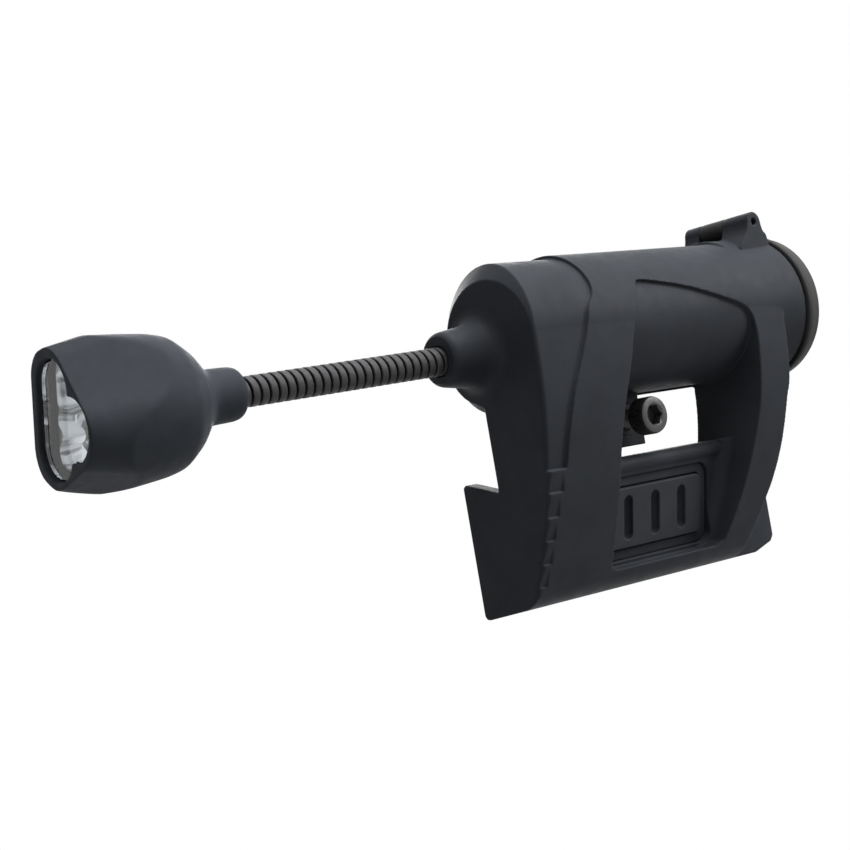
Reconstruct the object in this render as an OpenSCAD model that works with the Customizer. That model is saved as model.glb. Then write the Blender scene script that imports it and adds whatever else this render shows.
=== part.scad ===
// Helmet light: one battery cell in a tube, a lamp on a gooseneck, a foot that hooks on a rail.
// Lengths are in millimetres. The origin is the middle of the foot's back face, on the helmet.

/* [Battery and tube] */
// Diameter of the battery cell
cell_d = 14.5; // [14:0.1:17.4]
// Length of the battery cell with its nub
cell_len = 50.5; // [44:0.1:60.6]
// Free space round the cell
cell_gap = 0.45; // [0.3:0.05:0.8]
// Wall of the battery tube
tube_wall = 2.8; // [2.4:0.1:4]
// Wall at the tube's front end
front_wall = 3; // [2.6:0.1:5]
// Room for the door's spring behind the cell
spring_room = 3.7; // [3:0.1:6]
// Height of the raised band over the tube
band_rise = 0.4; // [0.1:0.05:0.5]

/* [Battery door] */
// Thickness of the door
door_t = 3.6; // [3:0.1:6]
// How far the rear rim stands out from the tube
rim_out = 1.2; // [0.6:0.1:2]
// Gap between tube and door, filled by the gasket
door_gap = 0.4; // [0.35:0.05:0.6]
// Outer radius of the hinge knuckles
knuckle_r = 1.6; // [1.4:0.1:2.2]
// Diameter of the hinge pin
pin_d = 1.5; // [1.2:0.1:1.8]
// Radial play of the door on its pin
pin_play = 0.06; // [0.03:0.01:0.1]
// Gap between neighbouring knuckles
knuckle_gap = 0.2; // [0.1:0.05:0.4]

/* [Foot and rail] */
// From the tube's axis to the back face on the helmet
face_out = 9.4; // [9:0.1:11]
// Height of the rail channel under the tube
channel_h = 11; // [10:0.1:14]
// From the tube's axis to the flat that the rail bears on
seat_y = 2.1; // [1.6:0.1:2.4]
// Height of the foot below the channel
foot_h = 17.8; // [17:0.1:20]
// Thickness of each end wall with its hook
hook_t = 2.3; // [1.8:0.1:3]
// Thickness of the cover on the foot's back
cover_t = 2; // [1.5:0.1:2.4]
// Radius of the curved outer wall
wall_bend = 72; // [64:1:90]

/* [Switch] */
// Width of the switch pad
pad_w = 20.2; // [18:0.2:21]
// Height of the switch pad
pad_h = 9; // [8:0.2:9.4]
// Lean of the pad from upright, in degrees
pad_lean = 13; // [8:1:15]
// How far the pad can be pushed in
pad_travel = 0.8; // [0.4:0.1:1]
// Gap round the pad
pad_gap = 0.2; // [0.15:0.05:0.4]

/* [Clamp screw] */
// Nominal diameter of the clamp screw
clamp_d = 3; // [2.5:0.5:3]
// Radial play of the screw in its insert
clamp_play = 0.06; // [0.03:0.01:0.1]
// How far the pressure pad can be driven
clamp_travel = 2; // [1:0.1:2.4]

/* [Gooseneck] */
// Outer radius of the gooseneck
neck_r = 2; // [1.8:0.05:2.4]
// Width of one band with its groove
band_pitch = 1.37; // [1.25:0.01:1.6]
// Bend of one joint to either side, in degrees
neck_bend = 20; // [10:1:22]
// Clearance between ball and socket of two links
ball_play = 0.08; // [0.05:0.01:0.1]
// Droop of the neck from the tube's axis, in degrees
neck_droop = 1.6; // [0:0.1:4]

/* [Lamp] */
// Largest radius of the lamp housing
lamp_r = 9.4; // [9:0.01:11.28]
// Length of the lamp housing
lamp_len = 24.4; // [23.6:0.1:30]
// From the axis to the lamp's upper flat, at the rim
flat_r = 6; // [5.8:0.1:6.6]
// Wall of the lamp housing
lamp_wall = 1.2; // [1:0.1:1.6]
// Turn of the lamp about its own axis, in degrees
lamp_turn = -47; // [-60:1:60]

/* [Hidden] */
$fn = 64;

contact_t = 0.5;
touch = 0.1;
bore_r = cell_d / 2 + cell_gap;
tube_r = bore_r + tube_wall;
cell_x = front_wall + contact_t + 2 * touch;
tube_len = cell_x + cell_len + spring_room;
rim_r = tube_r + rim_out;
door_x = tube_len + door_gap;
hinge_x = tube_len - 3.2;
hinge_z = rim_r + knuckle_r;

// The outlines below were drawn on a tube of this length and radius and are carried to the real one.
drawn_len = 57.9;
drawn_r = 10.5;
function at_x(x) = x * tube_len / drawn_len;
function at_z(z) = z > -drawn_r ? z * tube_r / drawn_r
    : z > -drawn_r - 11 ? -tube_r + (z + drawn_r) * channel_h / 11
    : -tube_r - channel_h + (z + drawn_r + 11) * foot_h / 17.8;
function outline(points) = [for (p = points) [at_x(p[0]), at_z(p[1])]];

foot_top = at_z(-22);
foot_low = at_z(-39.3);
foot_end = at_x(56.2);
face_x = at_x(28);
face_z = at_z(-30);
bottom_slope = 0.12;
function bottom_at(y) = foot_low + (face_out - y) * bottom_slope;

skin_line = outline([[0, 2], [0, -45], [43.4, -45], [44.8, -36.8], [45.5, -34.9], [47.4, -30.1],
    [48.7, -27], [50.2, -21.8], [51.5, -15], [52.4, -10.9], [52.6, 2]]);
window_line = outline([[22.3, 5.2], [21.8, 3.7], [19, -1.9], [17.3, -6.8], [15.6, -11.5],
    [14.65, -15.6], [14.2, -19.5], [43.8, -19.5], [45, -14.6], [45.6, -7.4], [45.2, -4.7],
    [43.8, -2.6], [41.1, -0.3], [35.1, 3], [27.4, 4.7], [23.2, 5.2]]);
recess_line = outline([[14.2, -19], [14.1, -25.3], [14.2, -30.8], [14.4, -34.2], [15.4, -35.2],
    [37.6, -35.4], [39.2, -34.2], [41.6, -27.6], [43.6, -20.4], [43.9, -19]]);
band_line = outline([[13.2, 16], [13.2, 5.6], [10.8, 1.8], [9.5, -1.4], [7.2, -6.1], [5.5, -9.8],
    [3.95, -15.4], [3.4, -19.5], [-2, -19.5], [-2, -45], [62, -45], [62, 16]]);
wedge_line = outline([[40, -19], [56.2, -19], [56.2, -35.6], [55, -36.8], [50, -38.3], [46, -45],
    [0, -45], [0, -19]]);

// Saw-tooth ledges down the front corner: height of each lower edge and how far back it reaches.
ledges = [[-19.5, 3.4], [-22.6, 2.8], [-25.9, 2.2], [-29, 1.8], [-32.2, 1.7], [-35.3, 1.5]];
ledge_deep = 0.4;
function band_y(z) = wall_bend - tube_r - sqrt(pow(wall_bend + band_rise, 2) - pow(z - at_z(-2), 2));

// Switch stack: this frame's own Y runs into the foot.
pad_x = at_x(27.2);
pad_y = seat_y - 3.3;
pad_z = at_z(-28.5);
floor_t = 2.2;
bezel_w = 1.5;
bezel_in = 0.5;
bezel_t = 0.9;
flange_t = 0.8;
flange_over = 0.6;
pad_deep = bezel_in + bezel_t + touch;
stem_len = 1.3;
board_y = 5.9;
board_t = 1;
groove_step = pad_w * 0.287;

clamp_x = at_x(25.3);
clamp_z = at_z(-14.2);
clamp_r = clamp_d / 2;
tab_y = seat_y - 2.6;
head_gap = clamp_travel + 0.8;

lamp_y = 1.5;
lamp_z = at_z(-2);
boss_len = 7.3;
joints = 8;
link_len = 3 * band_pitch;
first_joint = boss_len + link_len / 2;
lamp_u = boss_len + joints * link_len + 0.18;
function joint_at(k) = first_joint + (k - 1) * link_len;
ball_r = neck_r * 0.69;
socket_r = ball_r + ball_play;
joint_gap = neck_r * tan(neck_bend / 2) + 0.05;
neck_bore = 0.85;
lead_r = 0.34;
neck_fit = 0.15;
ferrule_r = 3;
tip_len = 2.6;
lamp_ferrule_r = 2.5;

// Each slightly curved flat of the lamp: its turn, how much further out it lies than the first, its bend.
lamp_flats = [[0, 0, 20], [113, 0.6, 20], [-57, 1.8, 10]];
flat_tilt = 13.2;
inner_play = 0.12;
lip_w = 0.35;
lip_flat_w = 0.7;
lens_u = lamp_len - 3.2;
lens_t = 1.8;
seal_t = 0.5;
cup_len = 5.5;
cup_ring = flat_r * 0.63;
cavity_u = 7.4;
led_board_t = 1;
reflector_u = lens_u - seal_t - cup_len;
carrier_end = reflector_u - led_board_t;

// Least gap between neighbouring turns of the door's coil spring.
coil_turns = 2.75;
coil_wire = 0.3;
coil_wide = 4.6;
coil_narrow = 3.2;
coil_len = spring_room - touch - 0.02;
coil_gap = norm([(coil_len - 2 * coil_wire) / coil_turns, (coil_wide - coil_narrow) / coil_turns])
    - 2 * coil_wire;
echo(door_spring_least_gap = coil_gap);

shell_colour = [0.13, 0.135, 0.15];
steel = [0.62, 0.63, 0.65];
brass = [0.74, 0.6, 0.33];
board_green = [0.09, 0.3, 0.16];

module along_x(a, b) {
    translate([a, 0, 0]) rotate([90, 0, 90]) linear_extrude(b - a) children();
}

module along_y(a, b) {
    translate([0, b, 0]) rotate([90, 0, 0]) linear_extrude(b - a) children();
}

module y_rod(a, b, r) {
    translate([0, b, 0]) rotate([90, 0, 0]) cylinder(h = b - a, r = r);
}

module x_turn() {
    rotate([0, 90, 0]) rotate_extrude() children();
}

module rounded(w, h, r) {
    square([w, h - 2 * r], center = true);
    square([w - 2 * r, h], center = true);
    for (x = [-1, 1], y = [-1, 1])
        translate([x * (w / 2 - r), y * (h / 2 - r)]) circle(r);
}

module tube_space() {
    translate([-face_x, -face_out, -face_z]) children();
}

module pad_space() {
    translate([pad_x, pad_y, pad_z]) rotate([pad_lean, 0, 0]) children();
}

module lamp_space() {
    tube_space() translate([0, lamp_y, lamp_z]) rotate([0, -90 - neck_droop, 0]) children();
}

// A plate in the switch stack from depth a to depth b, with rounded corners.
module pad_plate(a, b, w, h, r) {
    along_y(a, b) rounded(w, h, r);
}

module tube_solid(rise) {
    r = tube_r + rise;
    f = 1.4;
    flare = tube_len - 9;
    x_turn() {
        square([r - f, tube_len]);
        translate([0, f]) square([r, tube_len - f]);
        translate([r - f, f]) circle(f);
        polygon(concat([[0, flare]], [for (t = [0:0.125:1]) [r + (rim_r - r) * t * t, flare + 9 * t]],
            [[0, tube_len]]));
    }
}

module skin_solid(rise) {
    intersection() {
        along_x(0, at_x(60)) polygon([[-tube_r - 4, 0], [seat_y, 0], [seat_y, bottom_at(seat_y)],
            [-tube_r - 4, bottom_at(-tube_r - 4)]]);
        along_y(-tube_r - 5, seat_y) polygon(skin_line);
        translate([-1, wall_bend - tube_r, at_z(-2)]) rotate([0, 90, 0])
            cylinder(h = at_x(62), r = wall_bend + rise, $fn = 180);
    }
}

module recess_cut() {
    along_y(-tube_r - 6, seat_y + 0.01) polygon(window_line);
    intersection() {
        along_y(-tube_r - 6, seat_y + 4) polygon(recess_line);
        pad_space() translate([-60, -40, -40]) cube([120, 40, 80]);
    }
}

module ledge_cuts() {
    for (i = [1:len(ledges) - 1]) let (top = at_z(ledges[i - 1][0]) - 0.2, low = at_z(ledges[i][0]))
        along_x(-1, at_x(ledges[i][1])) polygon([[band_y(top) - 0.05, top],
            [band_y(low) + ledge_deep, low], [band_y(low) - 3, low], [band_y(low) - 3, top]]);
}

module foot_solid() {
    intersection() {
        union() {
            along_x(0, foot_end) polygon([[seat_y - 0.6, foot_top], [face_out, foot_top],
                [face_out, foot_low], [seat_y - 0.6, bottom_at(seat_y - 0.6)]]);
            for (x = [0, foot_end - hook_t])
                along_x(x, x + hook_t) polygon([[seat_y - 0.6, foot_top + 0.4],
                    [face_out - 0.5, foot_top + 2.3], [face_out, foot_top + 1.9],
                    [face_out, foot_top - 1], [seat_y - 0.6, foot_top - 1]]);
        }
        along_y(-5, face_out + 5) polygon(wedge_line);
    }
}

module boss_solid() {
    translate([0, lamp_y, lamp_z]) rotate([0, -90, 0]) rotate_extrude()
        polygon([[0, -1], [5.4, -1], [5.4, 0], [4.8, 0.35], [4.45, 0.9], [4.3, 1.8], [4.2, 4],
            [3.85, 6.3], [3.65, 6.95], [3.3, boss_len], [0, boss_len]]);
}

module hinge_block(a, b) {
    translate([hinge_x, 0, hinge_z]) y_rod(a, b, knuckle_r);
    along_y(a, b) polygon([[hinge_x - knuckle_r - 1.2, tube_r * 0.6],
        [hinge_x - knuckle_r, hinge_z - 0.4], [hinge_x, hinge_z], [hinge_x + knuckle_r, hinge_z - 0.4],
        [hinge_x + knuckle_r + 0.3, tube_r * 0.6]]);
}

cover_points = [for (x = [at_x(6.2), at_x(50.4)], z = [foot_top - 2.6, foot_low + 4.6]) [x, z]];
duct_x = front_wall + 0.4;
duct_z = foot_top - 4;

module duct_path(r, top) {
    translate([duct_x, -1, duct_z]) {
        cylinder(h = top - duct_z, r = r);
        sphere(r);
        rotate([0, 90, 0]) cylinder(h = at_x(13) - duct_x, r = r);
    }
}

module body_shell() {
    color(shell_colour) tube_space() difference() {
        union() {
            tube_solid(0);
            boss_solid();
            foot_solid();
            difference() {
                union() {
                    skin_solid(0);
                    intersection() {
                        union() {
                            tube_solid(band_rise);
                            skin_solid(band_rise);
                        }
                        along_y(-tube_r - 6, tube_r + 6) polygon(band_line);
                    }
                }
                recess_cut();
                ledge_cuts();
            }
            translate([at_x(13), tab_y, at_z(-18.2)])
                cube([at_x(15.5), seat_y - tab_y, at_z(-8) - at_z(-18.2)]);
            hinge_block(3.4, 6.4);
            hinge_block(-6.8, -1.6);
        }
        x_turn() translate([0, front_wall]) square([bore_r, tube_len]);
        x_turn() translate([0, front_wall - 1]) square([bore_r - 1.7, 2]);
        translate([front_wall, bore_r - 0.5, -1.9]) cube([tube_len, 1.3, 3.8]);
        translate([hinge_x, 0, hinge_z]) y_rod(-8, 8, pin_d / 2);
        translate([0, lamp_y, lamp_z]) rotate([0, -90 - neck_droop, 0]) {
            translate([0, 0, -front_wall - 1]) cylinder(h = front_wall + 3.6, r = ferrule_r);
            cylinder(h = boss_len + 2, r = neck_r + neck_fit);
        }
        duct_path(1.1, -bore_r + 1.2);
        translate([clamp_x, 0, clamp_z]) y_rod(tab_y - 1, seat_y + 1, clamp_r + 0.9);
        intersection() {
            translate([at_x(10.5), -20, foot_low + 2]) cube([at_x(34.5), face_out + 20,
                foot_top - foot_low - 3.8]);
            pad_space() translate([-60, floor_t, -40]) cube([120, 60, 80]);
        }
        translate([hook_t, face_out - cover_t, foot_low + 1.9])
            cube([foot_end - 2 * hook_t, cover_t + 1, foot_top - foot_low]);
        pad_space() {
            pad_plate(-6, bezel_in + bezel_t, pad_w + 2 * pad_gap + 2 * bezel_w,
                pad_h + 2 * pad_gap + 2 * bezel_w, 2);
            pad_plate(-6, floor_t + 1, pad_w + 2 * flange_over + 2 * pad_gap,
                pad_h + 2 * flange_over + 2 * pad_gap, 1.6);
        }
        for (p = cover_points)
            translate([p[0], 0, p[1]]) y_rod(face_out - cover_t - 4.2, face_out, 0.8);
    }
}

module foot_cover() {
    play = touch;
    color([0.11, 0.115, 0.125]) tube_space() difference() {
        union() {
            translate([hook_t + play, face_out - cover_t, foot_low + 1.9 + play])
                cube([foot_end - 2 * hook_t - 2 * play, cover_t, foot_top - foot_low - 1.9 - play]);
            intersection() {
                pad_space() for (x = [-12, 12], z = [-4.6, 1.4])
                    translate([x, 0, z]) y_rod(board_y + board_t, 14, 1.1);
                translate([0, -10, foot_low]) cube([foot_end, face_out + 10 - 0.2, foot_h + 2]);
            }
        }
        for (p = cover_points) translate([p[0], 0, p[1]]) {
            y_rod(0, 20, 1.1);
            y_rod(face_out - 1.1, 20, 2.05);
        }
    }
}

module cover_screws() {
    color(steel) tube_space() for (p = cover_points) translate([p[0], 0, p[1]]) difference() {
        union() {
            y_rod(face_out - cover_t - 4, face_out - 0.6, 0.78);
            y_rod(face_out - 1.1, face_out - 0.1, 1.95);
        }
        for (a = [0, 90]) rotate([0, a, 0])
            translate([-1.2, face_out - 0.6, -0.25]) cube([2.4, 1, 0.5]);
    }
}

module switch_bezel() {
    color([0.09, 0.093, 0.1]) tube_space() pad_space() difference() {
        pad_plate(bezel_in, bezel_in + bezel_t, pad_w + 2 * pad_gap + 2 * bezel_w - touch,
            pad_h + 2 * pad_gap + 2 * bezel_w - touch, 1.95);
        pad_plate(-2, 4, pad_w + 2 * pad_gap, pad_h + 2 * pad_gap, 0.9);
    }
}

module switch_pad() {
    color([0.1, 0.103, 0.11]) tube_space() pad_space() difference() {
        union() {
            pad_plate(0, pad_deep, pad_w, pad_h, 0.8);
            pad_plate(pad_deep, pad_deep + flange_t, pad_w + 2 * flange_over,
                pad_h + 2 * flange_over, 1.3);
            y_rod(pad_deep, pad_deep + flange_t + stem_len, 2);
        }
        for (x = [-1, 0, 1]) translate([x * groove_step, 0, 0])
            pad_plate(-1, 0.8, 1.5, pad_h * 0.74, 0.7);
    }
}

plunger_tip = pad_deep + flange_t + stem_len;
tact_front = plunger_tip + pad_travel + 0.1;

module tact_plunger() {
    color([0.2, 0.2, 0.2]) tube_space() pad_space()
        y_rod(plunger_tip, tact_front + 0.5, 1.4);
}

module tact_switch() {
    color(steel) tube_space() pad_space() difference() {
        translate([-3, tact_front, -3]) cube([6, board_y - tact_front, 6]);
        y_rod(tact_front - 1, tact_front + 0.6 + pad_travel, 1.48);
    }
}

module driver_board() {
    color(board_green) tube_space() pad_space()
        translate([-14, board_y, -6.5]) cube([28, board_t, 9.5]);
}

module board_parts() {
    color([0.07, 0.07, 0.075]) tube_space() pad_space() {
        translate([-11.5, board_y - 1.9, -2.2]) cube([4.4, 1.9, 4.4]);
        translate([5.4, board_y - 0.9, -1.9]) cube([3.8, 0.9, 3.8]);
        translate([10.6, board_y - 0.8, 1.2]) cube([2, 0.8, 1.2]);
        translate([10.6, board_y - 0.8, -2.4]) cube([2, 0.8, 1.2]);
    }
}

module front_contact() {
    color(brass) tube_space() {
        x_turn() translate([0, front_wall]) square([bore_r - touch, contact_t]);
        x_turn() translate([0, front_wall]) square([2, contact_t + touch]);
    }
}

module ground_strip() {
    color(steel) tube_space()
        translate([front_wall + contact_t + 0.6, bore_r + 0.15, -1.6])
            cube([tube_len - front_wall - contact_t - 0.75, 0.5, 3.2]);
}

module battery_cell() {
    color([0.16, 0.17, 0.2]) tube_space() {
        x_turn() translate([0, cell_x]) square([2.7, 2]);
        x_turn() translate([0, cell_x + 1.2]) square([cell_d / 2, cell_len - 1.2]);
    }
}

module body_lead() {
    color([0.5, 0.08, 0.07]) tube_space() duct_path(0.6, -bore_r - touch);
}

module battery_door() {
    r = 1;
    color(shell_colour) tube_space() difference() {
        union() {
            x_turn() {
                translate([0, door_x]) square([rim_r - r, door_t]);
                translate([0, door_x]) polygon([[0, 0], [rim_r, 0], [rim_r, 0.7],
                    [rim_r - 0.35, door_t - r], [0, door_t - r]]);
                translate([rim_r - 0.35 - r, door_x + door_t - r]) circle(r);
            }
            translate([hinge_x, 0, hinge_z]) y_rod(-1.6 + knuckle_gap, 3.4 - knuckle_gap, knuckle_r);
            along_y(-1.6 + knuckle_gap, 3.4 - knuckle_gap)
                polygon([[hinge_x, rim_r + 0.3], [door_x, rim_r + 0.3], [door_x, rim_r * 0.7],
                    [door_x + door_t - r, rim_r * 0.7], [door_x + door_t - r, rim_r + 0.6],
                    [hinge_x, hinge_z + knuckle_r]]);
            along_y(-2.6, 1.6) polygon([[door_x - 3, -rim_r - 0.9], [door_x, -rim_r - 0.9],
                [door_x, -rim_r + 2], [door_x + 1, -rim_r + 2], [door_x + 1, -rim_r - 2],
                [door_x - 3, -rim_r - 2]]);
        }
        translate([hinge_x, 0, hinge_z]) y_rod(-8, 8, pin_d / 2 + pin_play);
    }
}

module door_gasket() {
    color([0.04, 0.04, 0.045]) tube_space() x_turn() translate([bore_r + 0.9, tube_len + 0.05])
        square([rim_r - 0.6 - bore_r - 0.9, door_gap - 0.05]);
}

module door_contact() {
    color(brass) tube_space() x_turn() translate([0, tube_len + touch])
        square([bore_r + 0.7, door_gap - touch]);
}

module door_spring() {
    n = ceil(coil_turns * 8);
    function centre(i) = let (t = i / n, a = 360 * coil_turns * t,
        r = coil_wide + (coil_narrow - coil_wide) * t) [r * cos(a), r * sin(a),
        tube_len + touch - coil_wire - (coil_len - 2 * coil_wire) * t];
    function ring(i, k) = let (a = 360 * coil_turns * i / n, b = 60 * k, c = centre(i))
        [c[2] + coil_wire * sin(b), c[0] + coil_wire * cos(b) * cos(a),
        c[1] + coil_wire * cos(b) * sin(a)];
    points = [for (i = [0:n], k = [0:5]) ring(i, k)];
    sides = [for (i = [0:n - 1], k = [0:5]) [i * 6 + k, (i + 1) * 6 + k, (i + 1) * 6 + (k + 1) % 6,
        i * 6 + (k + 1) % 6]];
    color(steel) tube_space() polyhedron(points, concat(sides, [[0, 1, 2, 3, 4, 5]],
        [[for (k = [5:-1:0]) n * 6 + k]]), convexity = 8);
}

module hinge_pin() {
    color(steel) tube_space() translate([hinge_x, 0, hinge_z]) y_rod(-6.5, 6.2, pin_d / 2);
}

module clamp_insert() {
    color(brass) tube_space() translate([clamp_x, 0, clamp_z]) difference() {
        y_rod(tab_y, seat_y, clamp_r + 0.9);
        y_rod(tab_y - 1, seat_y + 1, clamp_r + clamp_play);
    }
}

module clamp_screw() {
    head = clamp_d;
    color([0.12, 0.12, 0.13]) tube_space() translate([clamp_x, 0, clamp_z]) difference() {
        union() {
            y_rod(tab_y - head_gap - head, tab_y - head_gap, clamp_d * 0.925);
            y_rod(tab_y - head_gap - 0.1, seat_y + 1.4, clamp_r);
        }
        rotate([0, 30, 0]) translate([0, tab_y - head_gap - head + 1.7, 0]) rotate([90, 0, 0])
            cylinder(h = 3, r = clamp_d * 0.48, $fn = 6);
    }
}

module clamp_pad() {
    color([0.06, 0.06, 0.065]) tube_space() translate([clamp_x, 0, clamp_z]) difference() {
        y_rod(seat_y + 0.3, seat_y + 2.3, clamp_d);
        y_rod(seat_y, seat_y + 1.5, clamp_r + clamp_play);
    }
}

module body_ferrule() {
    color(brass) lamp_space() difference() {
        translate([0, 0, -front_wall + 1.2]) cylinder(h = front_wall + 1.3, r = ferrule_r - 0.02);
        translate([0, 0, -front_wall]) cylinder(h = front_wall + 4, r = neck_bore);
    }
}

// Ribbed wall of the neck from a to b, with one groove for every band.
module neck_bands(a, b, bands) {
    step = (b - a) / bands;
    groove = 0.2;
    translate([0, 0, a]) rotate_extrude() {
        square([neck_r - 0.22, b - a]);
        for (i = [0:bands - 1]) translate([0, i * step + (i == 0 ? 0 : groove / 2)])
            square([neck_r, step - (i == 0 || i == bands - 1 ? groove / 2 : groove)]);
    }
}

module neck_link(k) {
    a = joint_at(k);
    b = joint_at(k + 1);
    color([0.1, 0.1, 0.11]) lamp_space() difference() {
        union() {
            neck_bands(a + joint_gap, b - joint_gap, 3);
            translate([0, 0, b]) sphere(ball_r);
        }
        translate([0, 0, a]) sphere(socket_r);
        translate([0, 0, a]) cylinder(h = 2 * link_len, r = neck_bore);
    }
}

module neck_root() {
    b = joint_at(1);
    color([0.1, 0.1, 0.11]) lamp_space() difference() {
        union() {
            translate([0, 0, 2.6]) cylinder(h = boss_len - 2.6, r = neck_r);
            neck_bands(boss_len - 0.1, b - joint_gap, 1);
            translate([0, 0, b]) sphere(ball_r);
        }
        cylinder(h = b + link_len, r = neck_bore);
    }
}

module neck_tip() {
    a = joint_at(joints);
    color([0.1, 0.1, 0.11]) lamp_space() difference() {
        union() {
            neck_bands(a + joint_gap, lamp_u, 1);
            translate([0, 0, lamp_u - 0.1]) cylinder(h = tip_len, r = neck_r);
        }
        translate([0, 0, a]) sphere(socket_r);
        translate([0, 0, a]) cylinder(h = 20, r = neck_bore);
    }
}

module lead_piece(a, b) {
    color([0.5, 0.08, 0.07]) lamp_space() translate([0, 0, a]) cylinder(h = b - a, r = lead_r);
}

module lead_link(k) {
    lead_piece(joint_at(k) + 0.25, joint_at(k + 1) - 0.25);
}

// Wide round bar whose side is one flat of the lamp, leaning out towards the back.
module lamp_flat(flat, inset) {
    rotate([0, 0, lamp_turn + flat[0]]) translate([flat_r + flat[1] - inset, 0, lamp_len])
        rotate([0, -flat_tilt, 0]) translate([-flat[2], 0, -60]) cylinder(h = 100, r = flat[2]);
}

// Bell of the lamp with its three flats, the bell and the flats each taken in by their own amount.
module lamp_bell(inset, flat_inset) {
    k = lamp_r / 9.4;
    m = lamp_len / 24.4;
    line = [[2.7, 0], [3.2, 0.3], [3.4, 1], [3.55, 4.4], [3.8, 4.9], [6.6, 7.8], [8.3, 10.3],
        [8.75, 12.4], [9.1, 16], [9.35, 19.3], [9.4, 20], [9.25, 20.9], [8.6, 24.4]];
    intersection() {
        rotate_extrude() polygon(concat([[0, 0]], [for (p = line) [p[0] * k - inset, p[1] * m]],
            [[0, lamp_len]]));
        lamp_flat(lamp_flats[0], flat_inset);
        lamp_flat(lamp_flats[1], flat_inset);
        lamp_flat(lamp_flats[2], flat_inset);
    }
}

module lamp_slab(inset, a, b, flat_inset = -1) {
    lamp_space() translate([0, 0, lamp_u]) intersection() {
        lamp_bell(inset, flat_inset < 0 ? inset : flat_inset);
        translate([0, 0, a]) cylinder(h = b - a, r = 2 * lamp_r);
    }
}

module lamp_rod(a, b, r) {
    lamp_space() translate([0, 0, lamp_u + a]) cylinder(h = b - a, r = r);
}

module at_cups() {
    lamp_space() for (a = [55, 175, 295]) rotate([0, 0, lamp_turn + a])
        translate([cup_ring, 0, lamp_u + reflector_u]) children();
}

module lamp_housing() {
    color([0.09, 0.09, 0.1]) difference() {
        lamp_slab(0, 0, lamp_len);
        lamp_rod(-1, tip_len + 1, neck_r + neck_fit);
        lamp_rod(tip_len - 0.1, cavity_u + 1, lamp_ferrule_r + 0.02);
        lamp_slab(lamp_wall, cavity_u, lens_u + lens_t + 0.05);
        lamp_slab(lamp_wall + lip_w, lens_u, lamp_len + 1, lamp_wall + lip_flat_w);
    }
}

module lamp_ferrule() {
    color(brass) difference() {
        lamp_rod(tip_len, cavity_u + 0.1, lamp_ferrule_r);
        lamp_rod(tip_len - 1, cavity_u + 2, neck_bore);
    }
}

module lamp_carrier() {
    color(steel) difference() {
        lamp_slab(lamp_wall + inner_play, cavity_u + 0.1, carrier_end);
        lamp_rod(cavity_u - 1, carrier_end + 1, 1.2);
    }
}

module led_board() {
    color([0.85, 0.86, 0.86]) difference() {
        lamp_slab(lamp_wall + inner_play, carrier_end, reflector_u);
        lamp_rod(carrier_end - 1, reflector_u + 1, 0.9);
    }
}

module leds() {
    color([0.9, 0.82, 0.35]) at_cups() {
        cylinder(h = 0.5, r = 0.95);
        intersection() {
            translate([0, 0, 0.4]) sphere(0.7);
            cylinder(h = 2, r = 0.95);
        }
    }
}

module reflector() {
    color([0.86, 0.87, 0.89]) difference() {
        lamp_slab(lamp_wall + inner_play, reflector_u, lens_u - seal_t);
        at_cups() translate([0, 0, -0.01]) rotate_extrude() polygon([[0, -0.1], [1.1, -0.1], [1.1, 0.6],
            [1.9, 2], [2.35, 3.4], [2.65, 4.8], [2.75, cup_len + 0.2], [0, cup_len + 0.2]]);
    }
}

module lens_seal() {
    color([0.05, 0.05, 0.055]) difference() {
        lamp_slab(lamp_wall + inner_play, lens_u - seal_t, lens_u);
        lamp_slab(lamp_wall + lip_w, lens_u - seal_t - 1, lens_u + 1, lamp_wall + lip_flat_w);
    }
}

module lens() {
    color([0.92, 0.95, 0.97, 0.4]) lamp_slab(lamp_wall + inner_play, lens_u, lens_u + lens_t);
}

body_shell();
foot_cover();
cover_screws();
switch_bezel();
switch_pad();
tact_plunger();
tact_switch();
driver_board();
board_parts();
front_contact();
ground_strip();
battery_cell();
body_lead();
battery_door();
door_gasket();
door_contact();
door_spring();
hinge_pin();
clamp_insert();
clamp_screw();
clamp_pad();
body_ferrule();
neck_root();
neck_link(1);  // neck_link_1
neck_link(2);  // neck_link_2
neck_link(3);  // neck_link_3
neck_link(4);  // neck_link_4
neck_link(5);  // neck_link_5
neck_link(6);  // neck_link_6
neck_link(7);  // neck_link_7
neck_tip();
lead_piece(-front_wall + 1.3, joint_at(1) - 0.25);  // lead_root
lead_link(1);  // lead_1
lead_link(2);  // lead_2
lead_link(3);  // lead_3
lead_link(4);  // lead_4
lead_link(5);  // lead_5
lead_link(6);  // lead_6
lead_link(7);  // lead_7
lead_piece(joint_at(joints) + 0.25, lamp_u + cavity_u + 4);  // lead_tip
lamp_ferrule();
lamp_carrier();
led_board();
leds();
reflector();
lens_seal();
lens();
lamp_housing();
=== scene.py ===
"""Looks of the helmet light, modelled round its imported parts. Shapes are drawn in millimetres."""
import math

import bmesh
import bpy
from mathutils import Matrix, Quaternion, Vector
from mathutils.geometry import convex_hull_2d


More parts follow.
